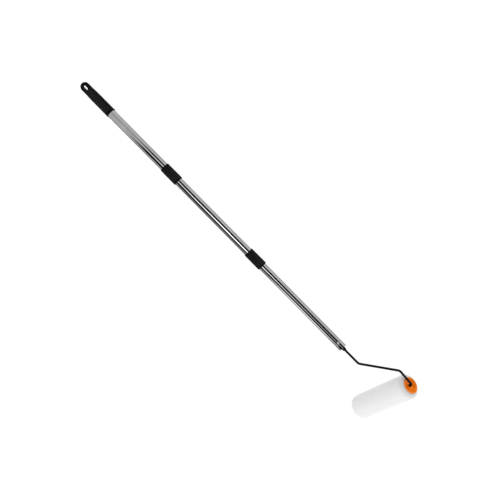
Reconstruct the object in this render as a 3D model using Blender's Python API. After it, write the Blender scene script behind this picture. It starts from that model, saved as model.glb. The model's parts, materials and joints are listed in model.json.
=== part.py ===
"""A paint roller on a three-section telescopic pole, lying on a flat surface.

The pole is laid out along its own axis, from the roller's axle (station 0) to the tail of the
grip. The roller, the wire and the pole share one plane, which leans a little so that the nap
and the grip both touch the surface. The origin is under the middle of the whole tool.
"""
import math

import bmesh
import bpy
from mathutils import Vector

# Roller: nap on a plastic core, with a dished cap in each end
ROLLER_LENGTH = 0.2286
CORE_DIAMETER = 0.045
CORE_WALL = 0.002
NAP_DEPTH = 0.0135
NAP_END_ROUND = 0.016
NAP_END_DROP = 0.012
CAP_OVERHANG = 0.0005
CAP_RIM_HEIGHT = 0.0015
CAP_RIM_WIDTH = 0.003
CAP_RIM_ROUND = 0.001
CAP_DISH_DEPTH = 0.0095
CAP_DISH_SLOPE = 0.003
CAP_SKIN = 0.0018
CAP_SPIGOT_LENGTH = 0.016
CAP_SPIGOT_WALL = 0.002
HUB_WALL = 0.0030
HUB_STAND = 0.0025
HUB_LENGTH = 0.012

# Axle fittings
AXLE_PLAY = 0.0002
BUSH_WALL = 0.0015
BUSH_FLANGE_WIDTH = 0.0018
BUSH_FLANGE = 0.0010
WASHER_WIDTH = 0.0020
WASHER_THICKNESS = 0.0008
STOP_RING_WALL = 0.0010
STOP_RING_LENGTH = 0.0020
PUSH_NUT_WIDTH = 0.0030
PUSH_NUT_THICKNESS = 0.0006
PUSH_NUT_DISH = 0.0008
AXLE_PROUD = 0.0010

# Wire: stem, diagonal, leg, hook and axle, bent from one rod
WIRE_DIAMETER = 0.0068
STEM_LENGTH = 0.0560
DIAGONAL_FORWARD = 0.0737
DIAGONAL_SIDE = 0.1008
LEG_FORWARD = 0.0531
LEG_INWARD = 0.0052
ELBOW_RADIUS = 0.010
HOOK_RADIUS = 0.006
HOOK_CLEARANCE = 0.0004
WIRE_SEAT = 0.034

# Pole: three nested steel tubes, each as much as shows of it
TUBE_DIAMETER = 0.0254
TUBE_WALL = 0.0003
TUBE_PLAY = 0.0001
OUTER_SHOWING = 0.2125
MIDDLE_SHOWING = 0.2820
LOWER_SHOWING = 0.3300
TUBE_OVERLAP = 0.075

# Twist locks: a split collet on the wider tube inside a fluted collar
COLLAR_LENGTH = 0.058
COLLAR_WALL = 0.0008
COLLAR_LIP = 0.003
COLLAR_RIM = 0.0025
COLLAR_CHAMFER = 0.0012
COLLAR_TAPER = 0.0003
FLUTES = 16
FLUTE_DEPTH = 0.0005
FLUTE_RUNOUT = 0.0008
COLLET_WALL = 0.0008
COLLET_NOSE = 0.018
COLLET_SLOT_WIDTH = 0.002
COLLET_ROOT = 0.004
GLIDE_LENGTH = 0.015
GLIDE_HEAD = 0.003
GLIDE_WALL = 0.002

# Plug in the lower tube, with its rivet
PLUG_LENGTH = 0.042
NOSE_LENGTH = 0.010
NOSE_BASE_DIAMETER = 0.0135
NOSE_TIP_WALL = 0.0016
RIVET_STATION = 0.021
RIVET_TURN = math.radians(47.5)
RIVET_SHANK_DIAMETER = 0.0036
RIVET_HEAD_DIAMETER = 0.0062
RIVET_HEAD_HEIGHT = 0.0014
RIVET_DEPTH = 0.004

# Grip: round at its mouth, flat at its tail
GRIP_LENGTH = 0.1173
GRIP_WALL = 0.0016
MOUTH_BEAD = 0.00045
MOUTH_BEAD_LENGTH = 0.006
SOCKET_DEPTH = 0.055
SOCKET_END_WALL = 0.004
TAB_WIDTH = 0.0276
TAB_THICKNESS = 0.0097
TAB_TURN = math.radians(65.0)
TAB_SHOULDER = 0.029
TAB_EDGE_ROUND = 0.0025
TAB_SQUARENESS = 0.5
TAB_FLATNESS = 0.08
HANG_SLOT_WIDTH = 0.0088
HANG_SLOT_LENGTH = 0.0175
HANG_SLOT_WALL = 0.0078

# Clearances and facet counts
FIT_GAP = 0.00015
ROUND = 36
ROUND_SMALL = 20
WIRE_BEVEL_STEPS = 4
BEND_STEPS = 6
GRIP_STEPS = 5
FLUTE_FACETS = 4
DOME_STEPS = 4
RIM_STEPS = 3
SHARP_ANGLE = math.radians(35)

# Radii that follow from the sizes above
wire_radius = WIRE_DIAMETER / 2
tube_step = TUBE_WALL + TUBE_PLAY
outer_radius = TUBE_DIAMETER / 2
middle_radius = outer_radius - tube_step
lower_radius = middle_radius - tube_step
core_radius = CORE_DIAMETER / 2
nap_radius = core_radius + FIT_GAP + NAP_DEPTH
cap_radius = core_radius + CAP_OVERHANG
bush_bore = wire_radius + AXLE_PLAY
bush_radius = bush_bore + BUSH_WALL
hub_radius = bush_radius + FIT_GAP + HUB_WALL
collet_radius = outer_radius + FIT_GAP + COLLET_WALL
collar_bore = collet_radius + FIT_GAP
collar_radius = collar_bore + COLLAR_WALL + FLUTE_DEPTH
socket_radius = outer_radius + FIT_GAP
grip_radius = socket_radius + GRIP_WALL

# Stations along the pole, measured from the roller's axle
elbow_station = LEG_FORWARD + DIAGONAL_FORWARD
nose_station = elbow_station + STEM_LENGTH
tip_station = nose_station + NOSE_LENGTH
lower_collar_station = tip_station + LOWER_SHOWING
middle_station = lower_collar_station + COLLAR_LENGTH
upper_collar_station = middle_station + MIDDLE_SHOWING
outer_station = upper_collar_station + COLLAR_LENGTH
grip_station = outer_station + OUTER_SHOWING
tail_station = grip_station + GRIP_LENGTH
tab_start = SOCKET_DEPTH + SOCKET_END_WALL

# Places across the pole: the hook, then the two ends of the core
hook_side = DIAGONAL_SIDE - LEG_INWARD
core_near = hook_side - wire_radius - HOOK_CLEARANCE - CAP_RIM_HEIGHT
core_far = core_near - ROLLER_LENGTH

# The tool leans on the nap and on the last round part of the grip
touch_station = grip_station + tab_start
touch_reach = math.hypot(touch_station, grip_radius)
lean = math.asin(nap_radius / touch_reach) - math.atan2(grip_radius, touch_station)
tool_front = nap_radius
tool_back = tail_station * math.cos(lean)
tool_right = DIAGONAL_SIDE + wire_radius
tool_left = -core_far + CAP_RIM_HEIGHT


def clear_scene():
    for item in list(bpy.data.objects):
        bpy.data.objects.remove(item, do_unlink=True)


def finish(name, colour, roughness, metallic=0.0):
    """One plain surface finish."""
    made = bpy.data.materials.new(name)
    made.use_nodes = True
    shader = made.node_tree.nodes["Principled BSDF"]
    shader.inputs["Base Color"].default_value = (*colour, 1.0)
    shader.inputs["Roughness"].default_value = roughness
    shader.inputs["Metallic"].default_value = metallic
    return made


def frame_point(name, parent=None, place=(0, 0, 0), turn=(0, 0, 0)):
    """An empty that carries pieces, placed on an axis of the tool."""
    empty = bpy.data.objects.new(name, None)
    empty.location = place
    empty.rotation_euler = turn
    empty.parent = parent
    bpy.context.collection.objects.link(empty)
    return empty


def add_piece(name, shape, surface, parent, place=(0, 0, 0), turn=(0, 0, 0)):
    """Turn a finished bmesh into a named object."""
    bmesh.ops.recalc_face_normals(shape, faces=shape.faces)
    mesh = bpy.data.meshes.new(name)
    shape.to_mesh(mesh)
    shape.free()
    mesh.shade_smooth()
    mesh.set_sharp_from_angle(angle=SHARP_ANGLE)
    mesh.materials.append(surface)
    piece = bpy.data.objects.new(name, mesh)
    piece.location = place
    piece.rotation_euler = turn
    piece.parent = parent
    bpy.context.collection.objects.link(piece)
    return piece


def cut_away(piece, cutter):
    """Cut one hidden shape out of a piece."""
    cutter.hide_render = True
    cutter.display_type = "WIRE"
    cut = piece.modifiers.new("cut_" + cutter.name, "BOOLEAN")
    cut.operation = "DIFFERENCE"
    cut.solver = "EXACT"
    cut.object = cutter


def turned(profile, sides):
    """Spin a closed profile of (radius, height) points round the local Z axis."""
    shape = bmesh.new()
    points = [shape.verts.new((radius, 0, height)) for radius, height in profile]
    edges = [shape.edges.new((a, b)) for a, b in zip(points, points[1:] + points[:1])]
    bmesh.ops.spin(shape, geom=points + edges, axis=(0, 0, 1), cent=(0, 0, 0),
                   angle=math.tau, steps=sides, use_merge=True)
    return shape


def ring(inner, outer, low, high):
    """The profile of a plain tube."""
    return [(inner, low), (outer, low), (outer, high), (inner, high)]


def arc(centre, radius, start, end, steps):
    """Points on an arc in the profile plane, both ends included."""
    angles = [start + (end - start) * i / steps for i in range(steps + 1)]
    return [(centre[0] + radius * math.cos(a), centre[1] + radius * math.sin(a)) for a in angles]


def bent_path(corners, radii):
    """A path through the corners, with each inner corner rounded to its radius."""
    path = [corners[0]]
    for before, corner, after, radius in zip(corners, corners[1:], corners[2:], radii):
        towards = (before - corner).normalized()
        onwards = (after - corner).normalized()
        half = towards.angle(onwards) / 2
        middle = (towards + onwards).normalized()
        centre = corner + middle * (radius / math.sin(half))
        start = corner + towards * (radius / math.tan(half)) - centre
        end = corner + onwards * (radius / math.tan(half)) - centre
        for i in range(BEND_STEPS + 1):
            path.append(centre + start.slerp(end, i / BEND_STEPS) * radius)
    path.append(corners[-1])
    return path


def make_tube(name, radius, low, high, surface, parent):
    return add_piece(name, turned(ring(radius - TUBE_WALL, radius, low, high), ROUND),
                     surface, parent)


def make_collet(name, wide_radius, thin_radius, station, surface, parent):
    """A sleeve on the wider tube's end, with split fingers on the thinner tube."""
    low = COLLAR_LIP + FIT_GAP
    high = COLLAR_LENGTH - COLLAR_LIP - FIT_GAP
    step = COLLET_NOSE - FIT_GAP
    profile = [
        (thin_radius + FIT_GAP, low), (collet_radius, low), (collet_radius, high),
        (wide_radius + FIT_GAP, high), (wide_radius + FIT_GAP, step), (thin_radius + FIT_GAP, step),
    ]
    collet = add_piece(name, turned(profile, ROUND), surface, parent, (0, 0, station))
    slot_top = COLLET_NOSE - COLLET_ROOT
    slot_reach = 3 * collet_radius
    for index in range(2):
        slot = bmesh.new()
        bmesh.ops.create_cube(slot, size=1.0)
        bmesh.ops.scale(slot, verts=slot.verts, vec=(slot_reach, COLLET_SLOT_WIDTH, 2 * slot_top))
        cutter = add_piece(f"{name}_slot_{index}", slot, surface, parent, (0, 0, station),
                           (0, 0, index * math.pi / 2))
        cut_away(collet, cutter)
    return collet


def make_collar(name, wide_radius, thin_radius, station, surface, parent):
    """A fluted twist collar that shuts in its collet, with a lip at each end."""
    top = COLLAR_LENGTH
    low_lip = thin_radius + FIT_GAP
    high_lip = wide_radius + FIT_GAP
    high_radius = collar_radius - COLLAR_TAPER
    low_flute = COLLAR_RIM + FLUTE_RUNOUT
    high_flute = top - COLLAR_RIM - FLUTE_RUNOUT
    profile = [
        (low_lip, 0), (collar_radius - COLLAR_CHAMFER, 0), (collar_radius, COLLAR_CHAMFER),
        (collar_radius, COLLAR_RIM), (collar_radius, low_flute), (high_radius, high_flute),
        (high_radius, top - COLLAR_RIM), (high_radius, top - COLLAR_CHAMFER),
        (high_radius - COLLAR_CHAMFER, top), (high_lip, top), (high_lip, top - COLLAR_LIP),
        (collar_bore, top - COLLAR_LIP), (collar_bore, COLLAR_LIP), (low_lip, COLLAR_LIP),
    ]
    shape = turned(profile, FLUTES * FLUTE_FACETS)
    for vert in shape.verts:
        outside = math.hypot(vert.co.x, vert.co.y) > collar_bore + FIT_GAP
        if not outside or not low_flute - FIT_GAP < vert.co.z < high_flute + FIT_GAP:
            continue
        facet = round(math.atan2(vert.co.y, vert.co.x) / math.tau * FLUTES * FLUTE_FACETS)
        if facet % FLUTE_FACETS >= FLUTE_FACETS / 2:
            inward = Vector((vert.co.x, vert.co.y, 0)).normalized() * FLUTE_DEPTH
            vert.co -= inward
    return add_piece(name, shape, surface, parent, (0, 0, station))


def make_glide(name, thin_radius, station, surface, parent):
    """A plug in the hidden end of a tube, whose head rides in the next tube."""
    bore = thin_radius - TUBE_WALL - FIT_GAP - GLIDE_WALL
    stem = thin_radius - TUBE_WALL - FIT_GAP
    profile = [
        (bore, -GLIDE_LENGTH), (stem, -GLIDE_LENGTH), (stem, FIT_GAP), (thin_radius, FIT_GAP),
        (thin_radius, FIT_GAP + GLIDE_HEAD), (bore, FIT_GAP + GLIDE_HEAD),
    ]
    return add_piece(name, turned(profile, ROUND), surface, parent, (0, 0, station))


def grip_section(height, half_thickness, half_width, slab=0.0):
    """One closed outline of the grip: round at slab 0, a flat-sided slab at slab 1."""
    power = 1 + (TAB_SQUARENESS - 1) * slab
    outline = []
    for i in range(ROUND):
        angle = math.tau * i / ROUND
        bulge = abs(math.cos(angle)) ** power * (1 + TAB_FLATNESS * slab)
        across = math.copysign(min(1.0, bulge), math.cos(angle))
        along = math.copysign(abs(math.sin(angle)) ** power, math.sin(angle))
        outline.append(Vector((half_thickness * across, half_width * along, height)))
    return outline


def grip_outlines():
    """Outlines from the mouth to the tail."""
    bead_radius = grip_radius + MOUTH_BEAD
    outlines = [
        grip_section(0, bead_radius, bead_radius),
        grip_section(MOUTH_BEAD_LENGTH / 2, bead_radius, bead_radius),
        grip_section(MOUTH_BEAD_LENGTH, grip_radius, grip_radius),
        grip_section(tab_start, grip_radius, grip_radius),
    ]
    half_thickness = TAB_THICKNESS / 2
    half_width = TAB_WIDTH / 2
    for i in range(1, GRIP_STEPS + 1):
        share = i / GRIP_STEPS
        ease = share * share * (3 - 2 * share)
        outlines.append(grip_section(
            tab_start + TAB_SHOULDER * share,
            grip_radius + (half_thickness - grip_radius) * ease,
            grip_radius + (half_width - grip_radius) * ease, ease))
    arc_start = GRIP_LENGTH - half_width
    for i in range(1, 2 * GRIP_STEPS):
        angle = math.pi / 2 * i / (2 * GRIP_STEPS)
        edge = min(1.0, (half_width - half_width * math.sin(angle)) / TAB_EDGE_ROUND)
        thickness = half_thickness - TAB_EDGE_ROUND * (1 - math.sqrt(edge * (2 - edge)))
        outlines.append(grip_section(arc_start + half_width * math.sin(angle), thickness,
                                     half_width * math.cos(angle), 1))
    return outlines


def make_grip(surface, parent):
    """The moulded grip: a blind socket for the tube, and a tab with a hang slot."""
    shape = bmesh.new()
    rings = [[shape.verts.new(point) for point in outline] for outline in grip_outlines()]
    for height in (0, SOCKET_DEPTH):
        rings.insert(0, [shape.verts.new(point) for point
                         in grip_section(height, socket_radius, socket_radius)])
    for low, high in zip(rings, rings[1:]):
        for i in range(ROUND):
            j = (i + 1) % ROUND
            shape.faces.new((low[i], low[j], high[j], high[i]))
    shape.faces.new(rings[0])
    shape.faces.new(rings[-1])
    grip = add_piece("hand_grip", shape, surface, parent, (0, 0, grip_station), (0, 0, -TAB_TURN))

    slot_half = HANG_SLOT_LENGTH / 2 - HANG_SLOT_WIDTH / 2
    slot_centre = GRIP_LENGTH - HANG_SLOT_WALL - HANG_SLOT_LENGTH / 2
    slot = bmesh.new()
    ends = ((slot_half, 0.0), (-slot_half, math.pi))
    outline = []
    for shift, start in ends:
        outline += arc((0, shift), HANG_SLOT_WIDTH / 2, start, start + math.pi, ROUND_SMALL // 2)
    base = slot.faces.new([slot.verts.new((-TAB_THICKNESS, across, along))
                           for across, along in outline])
    through = bmesh.ops.extrude_face_region(slot, geom=[base])
    moved = [item for item in through["geom"] if isinstance(item, bmesh.types.BMVert)]
    bmesh.ops.translate(slot, verts=moved, vec=(2 * TAB_THICKNESS, 0, 0))
    cutter = add_piece("hang_slot", slot, surface, parent,
                       (0, 0, grip_station + slot_centre), (0, 0, -TAB_TURN))
    cut_away(grip, cutter)
    return grip


def make_plug(surface, parent):
    """A plug in the lower tube, with a tapered nose round the wire."""
    bore = wire_radius + FIT_GAP
    stem = lower_radius - TUBE_WALL - FIT_GAP
    profile = [
        (bore, -NOSE_LENGTH), (bore + NOSE_TIP_WALL, -NOSE_LENGTH),
        (NOSE_BASE_DIAMETER / 2, 0), (stem, 0), (stem, PLUG_LENGTH), (bore, PLUG_LENGTH),
    ]
    return add_piece("tip_plug", turned(profile, ROUND), surface, parent, (0, 0, tip_station))


def make_rivet(surface, parent, tube, plug):
    """A domed rivet through the tube's wall into the plug."""
    seat = lower_radius + FIT_GAP
    shank = RIVET_SHANK_DIAMETER / 2
    head = RIVET_HEAD_DIAMETER / 2
    floor = lower_radius - RIVET_DEPTH
    place = (0, 0, tip_station + RIVET_STATION)
    turn = (math.pi / 2, 0, math.pi / 2 - RIVET_TURN)
    dome_radius = (head ** 2 + RIVET_HEAD_HEIGHT ** 2) / (2 * RIVET_HEAD_HEIGHT)
    dome_centre = seat + RIVET_HEAD_HEIGHT - dome_radius
    dome_half = math.asin(head / dome_radius)
    shape = bmesh.new()
    heights = [(shank, floor), (shank, seat), (head, seat)]
    for i in range(1, DOME_STEPS):
        angle = dome_half * (1 - i / DOME_STEPS)
        heights.append((dome_radius * math.sin(angle), dome_centre + dome_radius * math.cos(angle)))
    loops = []
    for radius, height in heights:
        loops.append([shape.verts.new((radius * math.cos(math.tau * i / ROUND_SMALL),
                                       radius * math.sin(math.tau * i / ROUND_SMALL), height))
                      for i in range(ROUND_SMALL)])
    for low, high in zip(loops, loops[1:]):
        for i in range(ROUND_SMALL):
            j = (i + 1) % ROUND_SMALL
            shape.faces.new((low[i], low[j], high[j], high[i]))
    shape.faces.new(loops[0])
    shape.faces.new(loops[-1])
    rivet = add_piece("tip_rivet", shape, surface, parent, place, turn)

    hole = bmesh.new()
    depth = RIVET_DEPTH + FIT_GAP
    bmesh.ops.create_cone(hole, segments=ROUND_SMALL, cap_ends=True, depth=2 * depth,
                          radius1=shank + FIT_GAP, radius2=shank + FIT_GAP)
    bmesh.ops.translate(hole, verts=hole.verts, vec=(0, 0, lower_radius))
    cutter = add_piece("rivet_hole", hole, surface, parent, place, turn)
    cut_away(tube, cutter)
    cut_away(plug, cutter)
    return rivet


def make_wire(surface, parent):
    """The bent rod, from its seat in the plug to the axle's end."""
    corners = [
        Vector((0, tip_station + WIRE_SEAT, 0)),
        Vector((0, elbow_station, 0)),
        Vector((DIAGONAL_SIDE, LEG_FORWARD, 0)),
        Vector((hook_side, 0, 0)),
        Vector((core_far - AXLE_PROUD, 0, 0)),
    ]
    path = bent_path(corners, (ELBOW_RADIUS, ELBOW_RADIUS, HOOK_RADIUS))
    curve = bpy.data.curves.new("wire_frame", "CURVE")
    curve.dimensions = "3D"
    curve.bevel_depth = wire_radius
    curve.bevel_resolution = WIRE_BEVEL_STEPS
    curve.use_fill_caps = True
    curve.materials.append(surface)
    spline = curve.splines.new("POLY")
    spline.points.add(len(path) - 1)
    for point, place in zip(spline.points, path):
        point.co = (*place, 1.0)
    wire = bpy.data.objects.new("wire_frame", curve)
    wire.parent = parent
    bpy.context.collection.objects.link(wire)
    return wire


def cap_profile():
    """Half a section of the end cap, measured outwards from the end of the core."""
    rim_inner = cap_radius - CAP_RIM_WIDTH
    dish = CAP_RIM_HEIGHT - CAP_DISH_DEPTH
    dish_edge = rim_inner - CAP_DISH_SLOPE
    hub_face = dish + HUB_STAND
    hub_bore = bush_radius + FIT_GAP
    spigot = core_radius - CORE_WALL - FIT_GAP
    inside = dish - CAP_SKIN
    corner = (cap_radius - CAP_RIM_ROUND, CAP_RIM_HEIGHT - CAP_RIM_ROUND)
    rim = arc(corner, CAP_RIM_ROUND, math.pi / 2, 0, RIM_STEPS)
    return [
        (hub_bore, hub_face), (hub_radius, hub_face), (hub_radius, dish), (dish_edge, dish),
        (rim_inner, CAP_RIM_HEIGHT), *rim, (cap_radius, FIT_GAP), (spigot, FIT_GAP),
        (spigot, -CAP_SPIGOT_LENGTH), (spigot - CAP_SPIGOT_WALL, -CAP_SPIGOT_LENGTH),
        (spigot - CAP_SPIGOT_WALL, inside), (hub_radius, inside), (hub_radius, dish - HUB_LENGTH),
        (hub_bore, dish - HUB_LENGTH),
    ]


def bush_profile():
    """Half a section of the flanged bush, in the same measure as the cap's."""
    dish = CAP_RIM_HEIGHT - CAP_DISH_DEPTH
    seat = dish + HUB_STAND + FIT_GAP
    flange = bush_radius + BUSH_FLANGE_WIDTH
    return [
        (bush_bore, dish - HUB_LENGTH), (bush_radius, dish - HUB_LENGTH), (bush_radius, seat),
        (flange, seat), (flange, seat + BUSH_FLANGE), (bush_bore, seat + BUSH_FLANGE),
    ]


def make_roller(parent, nap, core, cap, bush):
    """The turning part: nap, core, two caps and two bushes."""
    nap_bore = core_radius + FIT_GAP
    quarter = [math.pi / 2 * i / BEND_STEPS for i in range(BEND_STEPS + 1)]
    end = [(nap_radius - NAP_END_DROP * (1 - math.sin(turn)), NAP_END_ROUND * (1 - math.cos(turn)))
           for turn in quarter]
    profile = [(nap_bore, core_far)]
    profile += [(radius, core_far + inset) for radius, inset in end]
    profile += [(radius, core_near - inset) for radius, inset in reversed(end)]
    profile.append((nap_bore, core_near))
    add_piece("roller_sleeve", turned(profile, ROUND), nap, parent)
    add_piece("sleeve_core", turned(ring(core_radius - CORE_WALL, core_radius, core_far, core_near),
                                    ROUND), core, parent)
    ends = (("near", core_near, (0, 0, 0)), ("far", core_far, (math.pi, 0, 0)))
    for side, place, turn in ends:
        add_piece(f"{side}_end_cap", turned(cap_profile(), ROUND), cap, parent,
                  (0, 0, place), turn)
        add_piece(f"{side}_bush", turned(bush_profile(), ROUND_SMALL), bush, parent,
                  (0, 0, place), turn)


def make_axle_fittings(parent, moulded, blackened, plated):
    """What sits on the wire: washers, the stop ring and the push nut."""
    bore = wire_radius + FIT_GAP
    face = CAP_RIM_HEIGHT - CAP_DISH_DEPTH + HUB_STAND + FIT_GAP + BUSH_FLANGE + FIT_GAP
    washer_top = face + WASHER_THICKNESS
    washer = ring(bore, bore + WASHER_WIDTH, face, washer_top)
    over = (math.pi, 0, 0)
    add_piece("near_washer", turned(washer, ROUND_SMALL), moulded, parent, (0, 0, core_near))
    add_piece("far_washer", turned(washer, ROUND_SMALL), moulded, parent, (0, 0, core_far), over)

    stop_low = washer_top + FIT_GAP
    stop = ring(bore, bore + STOP_RING_WALL, stop_low, stop_low + STOP_RING_LENGTH)
    add_piece("axle_stop_ring", turned(stop, ROUND_SMALL), blackened, parent, (0, 0, core_near))

    nut_edge = bore + PUSH_NUT_WIDTH
    nut = [
        (bore, stop_low + PUSH_NUT_DISH), (nut_edge, stop_low),
        (nut_edge, stop_low + PUSH_NUT_THICKNESS),
        (bore, stop_low + PUSH_NUT_DISH + PUSH_NUT_THICKNESS),
    ]
    add_piece("push_nut", turned(nut, ROUND_SMALL), plated, parent, (0, 0, core_far), over)


def main():
    clear_scene()
    black = finish("black_plastic", (0.016, 0.016, 0.017), 0.5)
    steel = finish("bright_steel", (0.72, 0.72, 0.73), 0.16, 1.0)
    painted = finish("black_wire", (0.008, 0.008, 0.008), 0.35)
    orange = finish("orange_plastic", (0.88, 0.21, 0.006), 0.32)
    fabric = finish("white_nap", (0.86, 0.86, 0.86), 0.95)
    pale = finish("pale_plastic", (0.62, 0.62, 0.60), 0.5)
    zinc = finish("zinc_steel", (0.55, 0.56, 0.58), 0.3, 1.0)

    middle = ((tool_left - tool_right) / 2, (tool_front - tool_back) / 2, nap_radius)
    tool = frame_point("tool", None, middle, (-lean, 0, 0))
    pole = frame_point("pole_axis", tool, (0, 0, 0), (-math.pi / 2, 0, 0))
    axle = frame_point("axle_axis", tool, (0, 0, 0), (0, math.pi / 2, 0))

    make_grip(black, pole)
    make_tube("outer_tube", outer_radius, upper_collar_station + COLLET_NOSE,
              grip_station + SOCKET_DEPTH - FIT_GAP, steel, pole)
    make_collet("upper_collet", outer_radius, middle_radius, upper_collar_station, pale, pole)
    make_collar("upper_collar", outer_radius, middle_radius, upper_collar_station, black, pole)

    middle_end = upper_collar_station + TUBE_OVERLAP
    make_tube("middle_tube", middle_radius, lower_collar_station + COLLET_NOSE, middle_end,
              steel, pole)
    make_glide("middle_glide", middle_radius, middle_end, pale, pole)
    make_collet("lower_collet", middle_radius, lower_radius, lower_collar_station, pale, pole)
    make_collar("lower_collar", middle_radius, lower_radius, lower_collar_station, black, pole)

    lower_end = lower_collar_station + TUBE_OVERLAP
    lower_tube = make_tube("lower_tube", lower_radius, tip_station, lower_end, steel, pole)
    make_glide("lower_glide", lower_radius, lower_end, pale, pole)
    plug = make_plug(black, pole)
    make_rivet(zinc, pole, lower_tube, plug)

    make_wire(painted, tool)
    make_roller(axle, fabric, pale, orange, orange)
    make_axle_fittings(axle, orange, painted, zinc)


main()
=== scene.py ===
# %% [markdown]
# # A paint roller on a telescopic pole
#
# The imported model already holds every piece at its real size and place. This lesson dresses it:
# it models the pieces that show with more detail, gives each one a finish made of nodes, and
# sets up the light and the camera.

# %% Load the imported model
import json
import math

import bpy
from mathutils import Matrix, Quaternion, Vector, noise


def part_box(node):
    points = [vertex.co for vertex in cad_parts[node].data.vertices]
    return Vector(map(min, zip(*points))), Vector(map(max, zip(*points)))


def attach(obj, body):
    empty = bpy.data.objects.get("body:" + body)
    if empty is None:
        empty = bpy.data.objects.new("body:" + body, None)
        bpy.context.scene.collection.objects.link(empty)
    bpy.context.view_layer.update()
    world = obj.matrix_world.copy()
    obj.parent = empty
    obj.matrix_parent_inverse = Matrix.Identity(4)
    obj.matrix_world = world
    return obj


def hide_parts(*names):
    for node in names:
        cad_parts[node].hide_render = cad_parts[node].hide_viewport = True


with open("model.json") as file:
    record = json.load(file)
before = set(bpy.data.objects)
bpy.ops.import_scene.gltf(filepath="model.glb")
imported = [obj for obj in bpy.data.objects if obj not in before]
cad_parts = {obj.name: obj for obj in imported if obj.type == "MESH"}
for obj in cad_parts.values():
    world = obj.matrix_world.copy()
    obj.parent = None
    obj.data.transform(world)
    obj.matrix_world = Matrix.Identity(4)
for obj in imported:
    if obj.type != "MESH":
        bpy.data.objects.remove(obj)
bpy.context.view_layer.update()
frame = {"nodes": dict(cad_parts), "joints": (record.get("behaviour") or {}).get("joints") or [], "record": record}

print("nodes:", sorted(frame["nodes"]))

# %% [markdown]
# ## Directions of the tool
#
# The tool leans a little, because its thick roller and its thinner grip both touch the floor. So
# pieces are easier to model upright at the origin, and are then carried to their place by a
# matrix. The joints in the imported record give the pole's direction and the roller's axle.

# %% Matrices of the pole and the axle
joints = {joint["name"]: joint for joint in frame["joints"]}
pole_direction = Vector(joints["upper_twist"]["axis"]).normalized()
side_direction = Vector((1, 0, 0))
up_direction = side_direction.cross(pole_direction)
axle_point = Vector(joints["roller_spin"]["pos_m"])
axle_point.x = joints["upper_twist"]["pos_m"][0]

directions = Matrix((side_direction, pole_direction, up_direction)).transposed()
tool = Matrix.Translation(axle_point) @ directions.to_4x4()
pole = tool @ Matrix.Rotation(-math.pi / 2, 4, "X")
axle = tool @ Matrix.Rotation(math.pi / 2, 4, "Y")
lean = math.asin(-pole_direction.z)


def reach(node, local):
    """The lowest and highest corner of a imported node, along the axes of a matrix."""
    inverse = local.inverted()
    points = [inverse @ vertex.co for vertex in frame["nodes"][node].data.vertices]
    low = Vector([min(point[i] for point in points) for i in range(3)])
    high = Vector([max(point[i] for point in points) for i in range(3)])
    return low, high


print("lean of the pole: %.2f degrees" % math.degrees(lean))

# %% [markdown]
# ## Camera
#
# The camera stands to one side of the tool and above it, and is rolled so that the pole runs
# from the upper left to the lower right. Its place, aim and roll are written in the tool's own
# directions. The focal length comes from the picture's side in pixels. Colours are shown as they
# are, with the Standard view.

# %% Camera
CAMERA_PLACE = Vector((1.4025, 0.6878, 1.2785))
CAMERA_AIM = Vector((0.0108, 0.6215, 0.0))
CAMERA_ROLL = math.radians(-136.48)
FOCAL_PIXELS = 664.1
PICTURE_SIDE = 480

bpy.ops.object.select_all(action="DESELECT")
bpy.ops.object.camera_add()
camera = bpy.context.object
camera.name = "picture_camera"
camera.data.lens = FOCAL_PIXELS / PICTURE_SIDE * camera.data.sensor_width
look = (CAMERA_AIM - CAMERA_PLACE).to_track_quat("-Z", "Y")
roll = Quaternion((0, 0, 1), CAMERA_ROLL)
camera.matrix_world = tool @ Matrix.Translation(CAMERA_PLACE) @ (look @ roll).to_matrix().to_4x4()
bpy.context.scene.camera = camera
bpy.context.scene.view_settings.view_transform = "Standard"
print("lens: %.1f mm" % camera.data.lens)

# %% [markdown]
# ## Studio
#
# The floor is a sheet that glows nearly white, as a lit studio table does, so that shadows stay
# faint. It has no gloss, so that it shows no second tool.

# %% Floor
FLOOR_SIZE = 24.0
FLOOR_DROP = 0.0004
FLOOR_SHADE = 0.08
FLOOR_ROUGHNESS = 0.9
FLOOR_GLOW = 0.965


def grey(value):
    """A colour without a hue, as a socket takes it."""
    return (value, value, value, 1)


def new_finish(name, **constants):
    """A material whose shader has these sockets set, named with _ for each space."""
    finish = bpy.data.materials.new(name)
    finish.use_nodes = True
    shader = finish.node_tree.nodes["Principled BSDF"]
    for socket, value in constants.items():
        shader.inputs[socket.replace("_", " ")].default_value = value
    return finish


bpy.ops.object.select_all(action="DESELECT")
bpy.ops.mesh.primitive_plane_add(size=FLOOR_SIZE, location=(0, 0, -FLOOR_DROP))
floor = bpy.context.object
floor.name = "studio_floor"
floor_paint = new_finish("floor_paint", Base_Color=grey(FLOOR_SHADE), Roughness=FLOOR_ROUGHNESS,
                         Specular_IOR_Level=0.0, Emission_Color=grey(1), Emission_Strength=FLOOR_GLOW)
floor.data.materials.append(floor_paint)
print("floor of %.0f m" % FLOOR_SIZE)

# %% [markdown]
# The room is painted into the world. A bright strip overhead, with a fainter flank beside it, and
# a light wall behind the tool draw the long lines that bright steel tubes show. The dark between
# them draws the dark lines, and at both ends of the pole a soft light takes over. Lamps and screens
# could do the same, but here each light is only a short list of steps.

# %% Brightness of the room
# Each step is (degrees from the +X horizon over the top, brightness).
STRIP_ANGLES = [(50, 0.0), (52, 0.80), (53.5, 1.0), (59.5, 1.0), (61, 0.80), (63, 0.0)]
FLANK_ANGLES = [(60, 0.0), (63, 0.80), (65, 1.0), (70, 1.0), (74, 0.30), (79, 0.0)]
WALL_ANGLES = [(112, 0.0), (115, 0.50), (119, 1.0), (138, 0.98), (160, 0.58), (180, 0.45)]
SOFT_ANGLES = [(0, 0.74), (40, 0.80), (70, 0.98), (105, 1.12), (140, 0.90), (180, 0.84)]
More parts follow.
